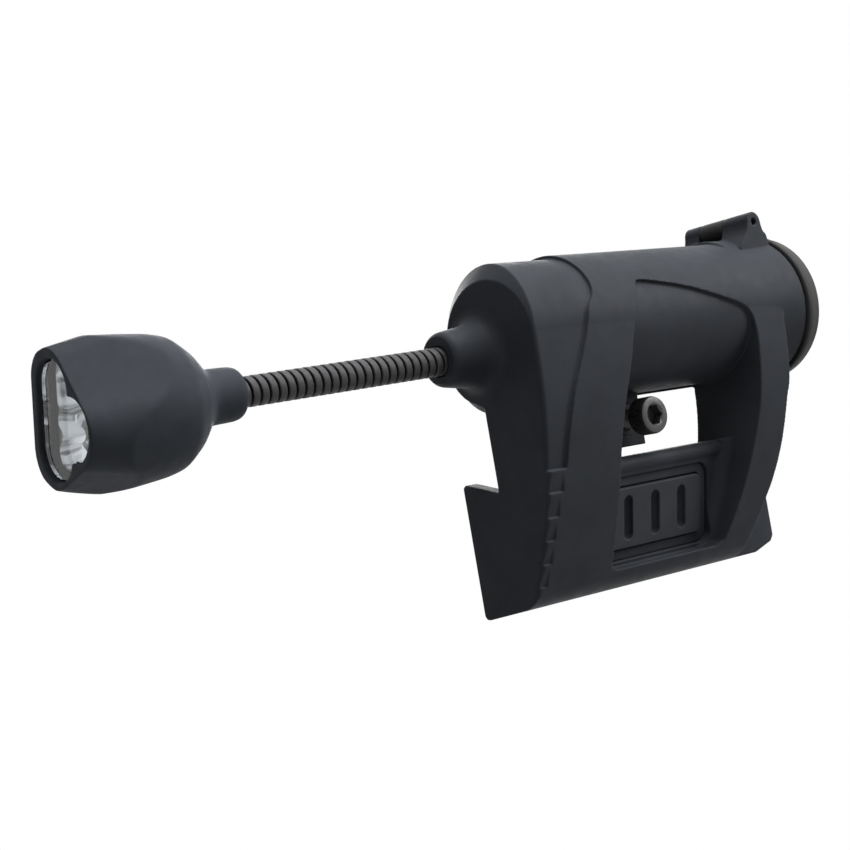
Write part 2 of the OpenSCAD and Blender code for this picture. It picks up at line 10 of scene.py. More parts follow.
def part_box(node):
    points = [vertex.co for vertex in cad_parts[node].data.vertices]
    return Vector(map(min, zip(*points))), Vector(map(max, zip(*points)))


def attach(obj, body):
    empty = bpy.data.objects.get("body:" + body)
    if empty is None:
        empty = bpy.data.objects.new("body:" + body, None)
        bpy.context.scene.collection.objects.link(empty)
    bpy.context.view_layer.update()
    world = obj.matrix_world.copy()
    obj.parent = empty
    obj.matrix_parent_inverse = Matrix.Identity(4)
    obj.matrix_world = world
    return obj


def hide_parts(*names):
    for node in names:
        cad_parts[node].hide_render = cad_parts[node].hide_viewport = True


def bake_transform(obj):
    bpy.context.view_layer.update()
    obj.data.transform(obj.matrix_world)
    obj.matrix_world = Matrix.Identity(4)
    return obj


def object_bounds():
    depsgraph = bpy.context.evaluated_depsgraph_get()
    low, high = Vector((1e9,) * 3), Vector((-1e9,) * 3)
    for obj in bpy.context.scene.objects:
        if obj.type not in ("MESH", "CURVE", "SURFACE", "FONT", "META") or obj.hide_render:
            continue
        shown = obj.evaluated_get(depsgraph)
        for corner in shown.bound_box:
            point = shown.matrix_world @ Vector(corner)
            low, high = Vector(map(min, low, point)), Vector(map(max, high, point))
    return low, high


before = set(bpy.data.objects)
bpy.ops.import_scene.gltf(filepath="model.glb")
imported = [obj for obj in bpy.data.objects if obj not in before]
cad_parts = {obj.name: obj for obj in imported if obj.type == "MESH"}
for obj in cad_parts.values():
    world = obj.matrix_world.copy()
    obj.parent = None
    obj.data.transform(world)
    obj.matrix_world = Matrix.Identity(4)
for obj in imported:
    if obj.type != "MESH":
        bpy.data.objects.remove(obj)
cad_low, cad_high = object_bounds()
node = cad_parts

# Frames of the object. The tube's frame runs back from its front face, out to the helmet and up.
MM = 0.001
CELL_FRONT = 3.7
cell_low, cell_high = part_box("battery_cell")
cell_middle = (cell_low + cell_high) / 2
TUBE_FRONT = Vector((cell_low.x - CELL_FRONT * MM, cell_middle.y, cell_middle.z))
TUBE = Matrix.Translation(TUBE_FRONT) @ Matrix.Scale(MM, 4)
BOSS_AT = (0, 1.5, -2)
NECK_DROOP = 1.6
NECK_IN_TUBE = Matrix.Translation(BOSS_AT) @ Matrix.Rotation(math.radians(-90 - NECK_DROOP), 4, "Y")
PAD_AT = (27.2, -1.2, -28.5)
PAD_LEAN = 13
PAD_IN_TUBE = Matrix.Translation(PAD_AT) @ Matrix.Rotation(math.radians(PAD_LEAN), 4, "X")
TURN_ON_X = Matrix.Rotation(math.radians(90), 4, "Y")
ALONG_X = Matrix(((0, 0, 1, 0), (1, 0, 0, 0), (0, 1, 0, 0), (0, 0, 0, 1)))
ALONG_Y = Matrix(((1, 0, 0, 0), (0, 0, 1, 0), (0, 1, 0, 0), (0, 0, 0, 1)))

# Driving sizes of the body, in millimetres.
TUBE_R = 10.5
TUBE_LEN = 57.9
BORE_R = 7.7
FRONT_WALL = 3
BAND_RISE = 0.55
RIM_R = 11.7
COLLAR_R = 11.5
FLARE_LEN = 9
WALL_BEND = 72
WALL_TOP = -2
SEAT_Y = 2.1
FACE_Y = 9.4
FOOT_TOP = -22
FOOT_LOW = -39.3
FOOT_END = 56.2
HOOK_T = 2.3
COVER_T = 2
BOTTOM_SLOPE = 0.12
DOOR_GAP = 0.4
DOOR_T = 3.6
DOOR_X = TUBE_LEN + DOOR_GAP
HINGE_X = TUBE_LEN - 3.2
KNUCKLE_R = 1.6
HINGE_Z = RIM_R + KNUCKLE_R
PIN_R = 0.75
PIN_NEAR = -6.1
PIN_FAR = 6.2
# Ends of the two hinge ears and of the door's knuckle between them.
NEAR_EAR = (-6.8, -1.6)
FAR_EAR = (3.4, 6.4)
DOOR_KNUCKLE = (-1.4, 3.2)

# Driving sizes of the switch and the clamp.
PAD_W = 20.2
PAD_H = 9
PAD_GAP = 0.2
PAD_DEEP = 1.5
BEZEL_W = 1.5
BEZEL_IN = 0.5
BEZEL_T = 0.9
FLANGE_T = 0.8
FLANGE_OVER = 0.6
STEM_LEN = 1.3
FLOOR_T = 2.2
HOLLOW_X = (10.5, 45)
CLAMP_X = 25.3
CLAMP_Z = -14.2
CLAMP_R = 1.5
TAB_X = (13, 28.5)
TAB_Y = SEAT_Y - 2.6
TAB_Z = (-18.2, -8)
HEAD_GAP = 2.8
HEAD_LEN = 3
HEAD_R = 2.775
SOCKET_R = 1.6
SOCKET_DEEP = 1.7
THREAD_PITCH = 0.5
THREAD_DEEP = 0.26

# Driving sizes of the gooseneck and the lamp.
NECK_R = 2
NECK_BORE = 0.85
NECK_HOLE = NECK_R + 0.15
BAND_PITCH = 1.37
LINK = 3 * BAND_PITCH
BOSS_LEN = 7.3
JOINTS = 8
LAMP_U = BOSS_LEN + JOINTS * LINK + 0.18
LAMP_LEN = 24.8
# Rim of the lamp: middle and radius of its three round corners, and how fast it widens towards the back.
RIM_CORNERS = [((4.4, 0.4), 4.2), ((-3.4, 2.4), 4.5), ((-2, -2.95), 4.5)]
RIM_TAPER = 0.036
LAMP_TURN = -47
LAMP_WALL = 1.2
INNER_PLAY = 0.12
LENS_U = 21.2
LENS_T = 1.8
SEAL_T = 0.5
SEAL_W = 1.0
CUP_LEN = 5.5
CUP_TURNS = (55, 175, 295)
CUP_RING = 3.78
CUP_R = 3.5
# The lens opening: two round corners with a straight side between them, and a third on the near side.
OPENING_FAR = [((3.7, -0.1), 3.6), ((-3.2, 1.6), 3.85)]
OPENING_NEAR = ((-1.5, -3.1), 3.85)
LENS_RISE = 1.1
CAVITY_U = 7.4
TIP_LEN = 2.6
FERRULE_R = 2.5
REFLECTOR_U = LENS_U - SEAL_T - CUP_LEN


# Shape tools

def solid(bm, place=Matrix()):
    """Close a mesh, put it in its place and turn its faces outwards."""
    bmesh.ops.remove_doubles(bm, verts=bm.verts, dist=1e-4)
    bm.transform(place)
    bmesh.ops.recalc_face_normals(bm, faces=bm.faces)
    if bm.calc_volume(signed=True) < 0:
        bmesh.ops.reverse_faces(bm, faces=bm.faces)
    mesh = bpy.data.meshes.new("shape")
    bm.to_mesh(mesh)
    bm.free()
    shape = bpy.data.objects.new("shape", mesh)
    bpy.context.scene.collection.objects.link(shape)
    return shape


def turned(profile, place=Matrix(), steps=96):
    """Turn a profile of (radius, height) points about the local Z axis."""
    bm = bmesh.new()
    corners = [bm.verts.new((radius, 0, height)) for radius, height in profile]
    lines = [bm.edges.new(pair) for pair in zip(corners, corners[1:])]
    bmesh.ops.spin(bm, geom=corners + lines, cent=(0, 0, 0), axis=(0, 0, 1), angle=math.tau,
                   steps=steps, use_merge=True)
    return solid(bm, place)


def prism(outline, low, high, place=Matrix()):
    """Push a flat outline from low to high along the local Z axis."""
    bm = bmesh.new()
    face = bm.faces.new([bm.verts.new((x, y, low)) for x, y in outline])
    pushed = bmesh.ops.extrude_face_region(bm, geom=[face])["geom"]
    far = [part for part in pushed if isinstance(part, bmesh.types.BMVert)]
    bmesh.ops.translate(bm, verts=far, vec=(0, 0, high - low))
    return solid(bm, place)


def block(low, high, place=Matrix()):
    outline = [(low[0], low[1]), (high[0], low[1]), (high[0], high[1]), (low[0], high[1])]
    return prism(outline, low[2], high[2], place)


def rod(radius, low, high, place=Matrix(), edge=0.0, steps=64):
    """A round bar along the local Z axis, with its ends chamfered by edge."""
    profile = [(0, low), (radius - edge, low), (radius, low + edge), (radius, high - edge),
               (radius - edge, high), (0, high)]
    return turned(profile, place, steps)


def y_rod(x, z, radius, low, high, edge=0.0):
    """A round bar along Y at the given X and Z of the tube's frame."""
    return rod(radius, low, high, Matrix.Translation((x, 0, z)) @ ALONG_Y, edge)


def arc(centre, radius, start, end, steps=8):
    """Points on a circle, from one angle to another in degrees."""
    angles = [math.radians(start + (end - start) * i / steps) for i in range(steps + 1)]
    return [(centre[0] + radius * math.cos(a), centre[1] + radius * math.sin(a)) for a in angles]


def curve(points, steps=6):
    """A smooth open line through the points."""
    ends = [points[0]] + list(points) + [points[-1]]
    line = []
    for before, start, stop, after in zip(ends, ends[1:], ends[2:], ends[3:]):
        for i in range(steps):
            t = i / steps
            line.append(tuple(
                0.5 * (2 * b + (c - a) * t + (2 * a - 5 * b + 4 * c - d) * t * t
                       + (3 * b - a - 3 * c + d) * t ** 3)
                for a, b, c, d in zip(before, start, stop, after)))
    return line + [tuple(points[-1])]


def rounded(width, height, radius):
    """Outline of a rectangle with round corners, about its middle."""
    x, y = width / 2 - radius, height / 2 - radius
    corners = [(x, y, 0), (-x, y, 90), (-x, -y, 180), (x, -y, 270)]
    return [p for cx, cy, a in corners for p in arc((cx, cy), radius, a, a + 90)]


def bake(shape):
    """Make a shape's modifiers part of its mesh."""
    ready = shape.evaluated_get(bpy.context.evaluated_depsgraph_get())
    mesh = bpy.data.meshes.new_from_object(ready)
    old = shape.data
    shape.modifiers.clear()
    shape.data = mesh
    bpy.data.meshes.remove(old)
    return shape


def combine(base, operation, tools):
    for tool in tools:
        step = base.modifiers.new("step", "BOOLEAN")
        step.operation = operation
        step.solver = "MANIFOLD"
        step.object = tool
    bake(base)
    for tool in tools:
        bpy.data.objects.remove(tool)
    return base


def join(base, *tools):
    return combine(base, "UNION", tools)


def cut(base, *tools):
    return combine(base, "DIFFERENCE", tools)


def keep(base, *tools):
    return combine(base, "INTERSECT", tools)


def soften(shape, voxel, passes, triangles):
    """Give a solid one even skin, round its edges a little and thin it to a number of triangles."""
    skin = shape.modifiers.new("skin", "REMESH")
    skin.mode = "VOXEL"
    skin.voxel_size = voxel
    even = shape.modifiers.new("even", "SMOOTH")
    even.factor = 0.5
    even.iterations = passes
    bake(shape)
    thin = shape.modifiers.new("thin", "DECIMATE")
    thin.ratio = min(1, triangles / (2 * len(shape.data.polygons)))
    bake(shape)
    shape.data.shade_smooth()
    return shape


def crisp(shape, angle=30):
    """Shade round faces smooth and keep edges sharper than the angle, in degrees."""
    shape.data.shade_smooth()
    shape.data.set_sharp_from_angle(angle=math.radians(angle))
    return shape


def piece(shape, name, material, body, replaced=(), place=TUBE):
    """Name a finished shape, carry it to its place and let it ride on its body."""
    shape.name = shape.data.name = name
    shape.data.transform(place)
    shape.data.materials.clear()
    shape.data.materials.append(material)
    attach(shape, body)
    if replaced:
        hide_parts(*replaced)
    return shape


# Materials

def material(name, colour, roughness, metallic=0.0):
    made = bpy.data.materials.new(name)
    made.use_nodes = True
    shader = made.node_tree.nodes["Principled BSDF"]
    shader.inputs["Base Color"].default_value = (*colour, 1)
    shader.inputs["Roughness"].default_value = roughness
    shader.inputs["Metallic"].default_value = metallic
    return made, made.node_tree, shader


def noise(tree, size, detail=3):
    """Noise on the object's own coordinates, with features of the given size in millimetres."""
    place = tree.nodes.new("ShaderNodeTexCoord")
    grain = tree.nodes.new("ShaderNodeTexNoise")
    grain.inputs["Scale"].default_value = 1 / (size * MM)
    grain.inputs["Detail"].default_value = detail
    tree.links.new(place.outputs["Object"], grain.inputs["Vector"])
    return grain.outputs["Fac"]


def vary_colour(tree, shader, factor, dark, light, spread=0.25):
    ramp = tree.nodes.new("ShaderNodeValToRGB")
    ramp.color_ramp.elements[0].position = 0.5 - spread
    ramp.color_ramp.elements[0].color = (*dark, 1)
    ramp.color_ramp.elements[1].position = 0.5 + spread
    ramp.color_ramp.elements[1].color = (*light, 1)
    tree.links.new(factor, ramp.inputs["Fac"])
    tree.links.new(ramp.outputs["Color"], shader.inputs["Base Color"])


def vary_roughness(tree, shader, factor, low, high):
    spread = tree.nodes.new("ShaderNodeMapRange")
    spread.inputs["From Min"].default_value = 0.3
    spread.inputs["From Max"].default_value = 0.7
    spread.inputs["To Min"].default_value = low
    spread.inputs["To Max"].default_value = high
    tree.links.new(factor, spread.inputs["Value"])
    tree.links.new(spread.outputs["Result"], shader.inputs["Roughness"])


def raise_grain(tree, shader, factor, depth):
    bump = tree.nodes.new("ShaderNodeBump")
    bump.inputs["Distance"].default_value = depth * MM
    bump.inputs["Strength"].default_value = 1
    tree.links.new(factor, bump.inputs["Height"])
    tree.links.new(bump.outputs["Normal"], shader.inputs["Normal"])


def finish(name, colour, roughness, metallic=0.0, shine=0.5, shade=0.12, patch=6.0, grain=0.2, depth=0.01,
           swing=0.06):
    """A surface with slow shifts of shade, an uneven gloss and a fine grain."""
    made, tree, shader = material(name, colour, roughness, metallic)
    shader.inputs["Specular IOR Level"].default_value = shine
    slow = noise(tree, patch)
    dark = [c * (1 - shade) for c in colour]
    light = [c * (1 + shade) for c in colour]
    vary_colour(tree, shader, slow, dark, light)
    vary_roughness(tree, shader, noise(tree, patch / 3), roughness - swing, roughness + swing)
    raise_grain(tree, shader, noise(tree, grain, 2), depth)
    return made


def clear_plastic(name):
    made, tree, shader = material(name, (0.97, 0.985, 1.0), 0.02)
    shader.inputs["Transmission Weight"].default_value = 1
    shader.inputs["IOR"].default_value = 1.4
    raise_grain(tree, shader, noise(tree, 4, 1), 0.004)
    return made


def grooved_steel(name, colour, groove_shade_colour):
    """Wound steel strip with painted shade down in its grooves, by the mesh's own groove attribute, over
    random shifts of tone.
    """
    made, tree, shader = material(name, colour, 0.5, 0.2)
    shader.inputs["Specular IOR Level"].default_value = 0.15
    groove = tree.nodes.new("ShaderNodeAttribute")
    groove.attribute_name = "groove"
    # Random tone from noise, plus painted shade that deepens with the groove attribute.
    tone_and_groove_shade = tree.nodes.new("ShaderNodeMath")
    tone_and_groove_shade.operation = "MULTIPLY_ADD"
    tone_and_groove_shade.inputs[1].default_value = 0.5
    tree.links.new(noise(tree, 0.5), tone_and_groove_shade.inputs[0])
    tree.links.new(groove.outputs["Fac"], tone_and_groove_shade.inputs[2])
    vary_colour(tree, shader, tone_and_groove_shade.outputs[0], colour, groove_shade_colour, 0.2)
    vary_roughness(tree, shader, noise(tree, 0.4), 0.42, 0.6)
    raise_grain(tree, shader, noise(tree, 0.12, 2), 0.006)
    return made


moulded = finish("moulded charcoal plastic", (0.045, 0.0495, 0.058), 0.5, shine=0.06, grain=0.16,
                 depth=0.012)
lamp_shell = finish("lamp housing plastic", (0.053, 0.0595, 0.07), 0.58, shine=0.06, patch=4, grain=0.16,
                    depth=0.012)
door_plastic = finish("door plastic", (0.058, 0.058, 0.0565), 0.55, shine=0.08, grain=0.16, depth=0.012)
pad_rubber = finish("switch rubber", (0.06, 0.065, 0.075), 0.55, shine=0.08, grain=0.2, depth=0.015)
seal_rubber = finish("seal rubber", (0.009, 0.009, 0.01), 0.65, shine=0.08, grain=0.2, depth=0.01)
# The near-black second colour is painted shade in the neck's grooves.
wound_steel = grooved_steel("blackened wound steel", (0.078, 0.078, 0.081), (0.002, 0.002, 0.002))
black_steel = finish("black oxide steel", (0.07, 0.07, 0.073), 0.4, 0.5, shade=0.3, patch=1.5,
                     grain=0.1, depth=0.005, swing=0.08)
insert_steel = finish("dull insert steel", (0.02, 0.02, 0.022), 0.55, 0.3, shine=0.2, patch=1.5, grain=0.1)
bright_steel = finish("bright steel", (0.4, 0.41, 0.43), 0.28, 1.0, shade=0.08, patch=3, grain=0.1,
                      depth=0.003)
brass = finish("brass", (0.72, 0.55, 0.27), 0.3, 1.0, shade=0.1, patch=3, grain=0.1, depth=0.003)
aluminium = finish("turned aluminium", (0.68, 0.69, 0.71), 0.32, 1.0, shade=0.06, patch=3, grain=0.1,
                   depth=0.003)
board_green = finish("board lacquer", (0.03, 0.16, 0.07), 0.35, patch=5, grain=0.3, depth=0.004)
board_white = finish("white board lacquer", (0.78, 0.79, 0.78), 0.4, shade=0.04, grain=0.3, depth=0.004)
chip_black = finish("chip resin", (0.018, 0.018, 0.02), 0.5, grain=0.12, depth=0.005)
sleeve_red = finish("lead sleeve", (0.35, 0.03, 0.03), 0.45, grain=0.3, depth=0.005)
cell_sleeve = finish("cell sleeve", (0.08, 0.09, 0.11), 0.3, patch=8, grain=0.5, depth=0.003)
mirror = finish("metallised mirror", (0.65, 0.67, 0.685), 0.12, 1.0, shade=0.02, patch=4, grain=0.8,
                depth=0.001, swing=0.02)
phosphor = finish("phosphor", (0.86, 0.72, 0.2), 0.35, shade=0.08, patch=1, grain=0.1, depth=0.004)
clear = clear_plastic("clear lens plastic")


# Body moulding

BAND_LINE = curve([(13.2, 16), (13.2, 5.6), (10.8, 1.8), (9.5, -1.4), (7.2, -6.1), (5.5, -9.8),
                   (3.95, -15.4), (3.4, -19.5)]) + [(-2, -19.5), (-2, -46), (62, -46), (62, 16)]
SKIN_LINE = [(-2, 2), (-2, -46), (43.4, -46)] + curve([(44.8, -36.8), (45.5, -34.9), (47.4, -30.1),
                                                     (48.7, -27), (50.2, -21.8), (51.5, -15),
                                                     (52.4, -10.9), (52.6, 2)])
RECESS_LINE = (curve([(14.2, -34.2), (14.1, -30.8), (14.1, -25.3), (14.2, -19.5), (14.65, -15.6),
                      (15.6, -11.5), (17.3, -6.8), (19, -1.9), (21.4, 3.4), (22, 4.7), (23.2, 5.25),
                      (27.4, 4.65), (33.6, 3.3), (40.9, 0.95), (43.7, -0.2), (44.9, -1.3), (45.5, -2.9),
                      (45.7, -5.2), (45.6, -7.6), (45, -14.6), (43.6, -20.4), (41.6, -27.6), (39.4, -33.8),
                      (38.6, -34.9), (37.2, -35.4)])
               + curve([(15.6, -35.3), (14.7, -35), (14.2, -34.2)], 3)[:-1])
WEDGE_LINE = [(40, -19), (56.2, -19), (56.2, -36.3), (55.5, -37.2), (50, -38.8), (46, -45), (-2, -45),
              (-2, -19)]
# Saw-tooth ledges down the front corner: height of each lower edge and how far back it reaches.
LEDGES = [(-19.5, 3.4), (-22.6, 2.8), (-25.9, 2.2), (-29, 1.8), (-32.2, 1.7), (-35.3, 1.5)]
LEDGE_DEEP = 0.34
CORNER_R = 0.6
FRONT_R = 0.5
BOTTOM_R = 5
# Slanted chamfer of the tube's front: widest at the top and on the far side.
CHAMFER_AT = (-1.25, -0.9)
CHAMFER_R = 9.0
CHAMFER_SLOPE = 1.1
WINDOW_LOW = -19.5
RECESS_DRAFT = 0.1
PANEL_R = 1.6
PANEL_STEPS = 8
BAR_R = 1.35
BAR_PROUD = 0.25
SADDLE_R = 9.8
SADDLE_UP = 1.75
SADDLE_FROM = 48.2
LEAD_HOLE_R = 3
LEAD_HOLE_END = 2.6


def bottom_at(y):
    return FOOT_LOW + (FACE_Y - y) * BOTTOM_SLOPE


def wall_y(z, rise=0.0):
    """Y of the curved outer wall at a height."""
    return WALL_BEND - TUBE_R - math.sqrt((WALL_BEND + rise) ** 2 - (z - WALL_TOP) ** 2)


def tube_solid(rise):
    radius = TUBE_R + rise
    flare_from = TUBE_LEN - FLARE_LEN
    flare = [(radius + (COLLAR_R - radius) * (i / 12) ** 2, flare_from + FLARE_LEN * i / 12)
             for i in range(13)]
    front = arc((radius - FRONT_R, FRONT_R), FRONT_R, -90, 0, 12)
    tube = turned([(0, 0)] + front + flare + [(0, TUBE_LEN)], TURN_ON_X, 180)
    cone = turned([(0, -1), (CHAMFER_R - CHAMFER_SLOPE, -1), (CHAMFER_R + 80 * CHAMFER_SLOPE, 80), (0, 80)],
                  Matrix.Translation((0, *CHAMFER_AT)) @ TURN_ON_X, 180)
    return keep(tube, cone)


def skin_solid(rise):
    radius = WALL_BEND + rise
    corner = arc((radius - CORNER_R, CORNER_R), CORNER_R, -90, 0, 10)
    wall = turned([(0, 0)] + corner + [(radius, 62), (0, 62)],
                  Matrix.Translation((0, WALL_BEND - TUBE_R, WALL_TOP)) @ TURN_ON_X, 720)
    outer = -TUBE_R - 4
    side = prism([(outer, 0), (SEAT_Y, 0), (SEAT_Y, bottom_at(SEAT_Y)), (outer, bottom_at(outer))], -1, 60,
                 ALONG_X)
    keep(side, wall, prism(SKIN_LINE, -TUBE_R - 5, SEAT_Y, ALONG_Y))
    return cut(side, bottom_edge(rise))


def bottom_edge(rise):
    """What a round edge takes off the corner between the outer wall and the underside."""
    z = FOOT_LOW
    for _ in range(6):
        z = bottom_at(wall_y(z, rise))
    corner = Vector((wall_y(z, rise), z))
    lean = math.asin((z - WALL_TOP) / (WALL_BEND + rise))
    down_out = math.degrees(math.atan2(math.sin(lean), -math.cos(lean))) % 360
    under = 270 - math.degrees(math.atan(BOTTOM_SLOPE))
    half = math.radians(under - down_out) / 2
    out = Vector((math.cos(math.radians(down_out) + half), math.sin(math.radians(down_out) + half)))
    middle = corner - out * (BOTTOM_R / math.cos(half))
    line = [Vector(p) for p in arc(middle, BOTTOM_R, down_out, under, 12)]
    return prism(line + [line[-1] + 2 * out, line[0] + 2 * out], -3, 62, ALONG_X)


def ledge_cuts():
    for (top, _), (low, reach) in zip(LEDGES, LEDGES[1:]):
        out = wall_y(low, BAND_RISE) - 3
        yield prism([(wall_y(top, BAND_RISE), top - 0.2), (wall_y(low, BAND_RISE) + LEDGE_DEEP, low),
                     (out, low), (out, top - 0.2)], -2, reach, ALONG_X)


def recess_tool(deep, shift=0.0):
    """The recess's outline pushed in to a depth, with its rear wall leaning in."""
    tool = prism([(x - shift, z) for x, z in RECESS_LINE], -TUBE_R - 6, deep, ALONG_Y)
    for vertex in tool.data.vertices:
        x, y, z = vertex.co
        rear = max(0, min(1, (x + shift - 30) / 10))
        vertex.co.x -= RECESS_DRAFT * rear * (y - wall_y(z, BAND_RISE))
    return tool


def recess_cut():
    """Window through the wall, and below it the panel with a round inner corner at its rear wall."""
    recess = keep(recess_tool(SEAT_Y + 0.01), block((-5, -40, WINDOW_LOW), (65, 40, 20)))
    for i in range(PANEL_STEPS + 1):
        turn = math.radians(90 * i / PANEL_STEPS)
        shift = PANEL_R * (1 - math.sin(turn))
        rise = PANEL_R * (1 - math.cos(turn))
        panel = keep(recess_tool(SEAT_Y + 4), recess_tool(SEAT_Y + 4, shift),
                     block((-60, -40, -40), (60, -rise, 40), PAD_IN_TUBE))
        join(recess, panel)
    return recess


def window_bar():
    """Round bar along the window's lower edge, and the corner that it takes the place of."""
    z = WINDOW_LOW - BAR_R
    lean = math.radians(PAD_LEAN)
    face = PAD_AT[1] - (z - PAD_AT[2]) * math.tan(lean)
    y = face + BAR_R / math.cos(lean) - BAR_PROUD
    bar = rod(BAR_R, 13, 46, Matrix.Translation((0, y, z)) @ TURN_ON_X)
    corner = block((14.3, face - 2, z), (42, y, WINDOW_LOW + 1))
    return bar, corner


def foot_solid():
    inner = SEAT_Y - 0.6
    low_edge = arc((FACE_Y - 0.8, FOOT_LOW + 0.8), 0.8, 0, -90)
    foot = prism([(inner, FOOT_TOP), (FACE_Y, FOOT_TOP)] + low_edge + [(inner, bottom_at(inner))],
                 0, FOOT_END, ALONG_X)
    hook = [(inner, FOOT_TOP + 0.4), (FACE_Y - 0.5, FOOT_TOP + 2.3), (FACE_Y, FOOT_TOP + 1.9),
            (FACE_Y, FOOT_TOP - 1), (inner, FOOT_TOP - 1)]
    join(foot, prism(hook, 0, HOOK_T, ALONG_X), prism(hook, FOOT_END - HOOK_T, FOOT_END, ALONG_X))
    return keep(foot, prism(WEDGE_LINE, -5, FACE_Y + 5, ALONG_Y))


def boss_solid():
    side = curve([(6.6, 0.03), (5.7, 0.25), (5, 0.8), (4.5, 1.8), (4.25, 3.4), (3.95, 5.8), (3.75, 6.75),
                  (3.3, BOSS_LEN)])
    profile = [(0, -1), (7, -1), (7, 0)] + side + [(0, BOSS_LEN)]
    return turned(profile, Matrix.Translation(BOSS_AT) @ Matrix.Rotation(math.radians(-90), 4, "Y"))


def hinge_ear(low, high):
    """Knuckle on the tube with a foot that flares into the collar."""
    front = curve([(HINGE_X - 4.2, TUBE_R * 0.9), (HINGE_X - 2.6, TUBE_R + 0.7),
                   (HINGE_X - 1.9, TUBE_R + 1.8), (HINGE_X - KNUCKLE_R, HINGE_Z)])
    rear = curve([(HINGE_X + KNUCKLE_R, HINGE_Z), (HINGE_X + 1.9, TUBE_R + 1.4),
                  (HINGE_X + 2.6, TUBE_R + 0.5), (HINGE_X + 3, TUBE_R * 0.8)])
    top = arc((HINGE_X, HINGE_Z), KNUCKLE_R, 170, 10, 14)
    inside = [(HINGE_X + 3, TUBE_R * 0.6), (HINGE_X - 4.2, TUBE_R * 0.6)]
    return prism(front + top + rear + inside, low, high, ALONG_Y)


def saddle():
    """Low raised patch under the hinge, fading out down the tube's sides."""
    place = Matrix.Translation((0, 0, SADDLE_UP)) @ TURN_ON_X
    return rod(SADDLE_R, SADDLE_FROM, TUBE_LEN - 0.5, place, steps=128)


def neck_channel():
    hole = rod(NECK_HOLE, 0, BOSS_LEN + 2, NECK_IN_TUBE)
    return join(hole, rod(LEAD_HOLE_R, -FRONT_WALL - 1, LEAD_HOLE_END, NECK_IN_TUBE))


COVER_POINTS = [(x, z) for x in (6.2, 50.4) for z in (FOOT_TOP - 2.6, FOOT_LOW + 4.6)]


def body_cuts():
    yield rod(BORE_R, FRONT_WALL, TUBE_LEN + 1, TURN_ON_X, steps=128)
    yield block((FRONT_WALL, BORE_R - 0.5, -1.9), (TUBE_LEN + 1, BORE_R + 0.8, 1.9))
    yield y_rod(HINGE_X, HINGE_Z, PIN_R + 0.02, PIN_NEAR - 0.05, 9)
    yield y_rod(HINGE_X, HINGE_Z, PIN_R * 0.75, -9, PIN_NEAR + 0.1)
    yield neck_channel()
    yield y_rod(CLAMP_X, CLAMP_Z, CLAMP_R + 0.9, TAB_Y - 1, SEAT_Y + 1)
    inside = block((HOLLOW_X[0], -20, FOOT_LOW + 2), (HOLLOW_X[1], FACE_Y, FOOT_TOP - 1.8))
    yield keep(inside, block((-60, FLOOR_T, -40), (60, 62, 40), PAD_IN_TUBE))
    yield block((HOOK_T, FACE_Y - COVER_T, FOOT_LOW + 1.9), (FOOT_END - HOOK_T, FACE_Y + 1, FOOT_TOP + 1.9))
    in_pad = PAD_IN_TUBE @ ALONG_Y
    frame_w = 2 * (PAD_GAP + BEZEL_W)
    yield prism(rounded(PAD_W + frame_w, PAD_H + frame_w, 2), -6, BEZEL_IN + BEZEL_T, in_pad)
    well_w = 2 * (PAD_GAP + FLANGE_OVER)
    yield prism(rounded(PAD_W + well_w, PAD_H + well_w, 1.6), -6, FLOOR_T + 1, in_pad)
    for x, z in COVER_POINTS:
        yield y_rod(x, z, 0.8, FACE_Y - COVER_T - 4.2, FACE_Y)


def body_moulding():
    band = join(tube_solid(BAND_RISE), skin_solid(BAND_RISE))
    keep(band, prism(BAND_LINE, -TUBE_R - 6, TUBE_R + 6, ALONG_Y))
    outside = join(skin_solid(0), band)
    cut(outside, recess_cut(), *ledge_cuts())
    tab = block((TAB_X[0], TAB_Y, TAB_Z[0]), (TAB_X[1], SEAT_Y, TAB_Z[1]))
    body = join(tube_solid(0), boss_solid(), foot_solid(), outside, tab, saddle(),
                hinge_ear(*FAR_EAR), hinge_ear(*NEAR_EAR))
    bar, corner = window_bar()
    cut(body, corner)
    join(body, bar)
    cut(body, *body_cuts())
    return soften(body, voxel=0.14, passes=3, triangles=190000)


piece(body_moulding(), "body_moulding", moulded, "body", ["body_shell"])


# Foot cover, its screws and the clamp

def foot_cover():
    play = 0.1
    plate = block((HOOK_T + play, FACE_Y - COVER_T, FOOT_LOW + 1.9 + play),
                  (FOOT_END - HOOK_T - play, FACE_Y, FOOT_TOP))
    holes = [y_rod(x, z, 1.1, 0, 20) for x, z in COVER_POINTS]
    wells = [y_rod(x, z, 2.05, FACE_Y - 1.1, 20) for x, z in COVER_POINTS]
    cut(plate, *holes, *wells)
    return soften(plate, voxel=0.16, passes=3, triangles=60000)


def cover_screws():
    """Four small pan-head screws with a cross recess."""
    screws = None
    for x, z in COVER_POINTS:
        place = Matrix.Translation((x, 0, z)) @ ALONG_Y
        head = curve([(1.95, FACE_Y - 1.1), (1.93, FACE_Y - 0.7), (1.6, FACE_Y - 0.3), (0.9, FACE_Y - 0.12),
                      (0, FACE_Y - 0.1)], 4)
        shank = [(0, FACE_Y - COVER_T - 4), (0.5, FACE_Y - COVER_T - 4), (0.78, FACE_Y - COVER_T - 3.5),
                 (0.78, FACE_Y - 1.1)]
        screw = turned(shank + head, place, 48)
        slots = [block((-1.1, FACE_Y - 0.7, -0.22), (1.1, FACE_Y + 1, 0.22),
                       Matrix.Translation((x, 0, z)) @ Matrix.Rotation(math.radians(a), 4, "Y"))
                 for a in (20, 110)]
        cut(screw, *slots)
        screws = join(screws, screw) if screws else screw
    return crisp(screws)


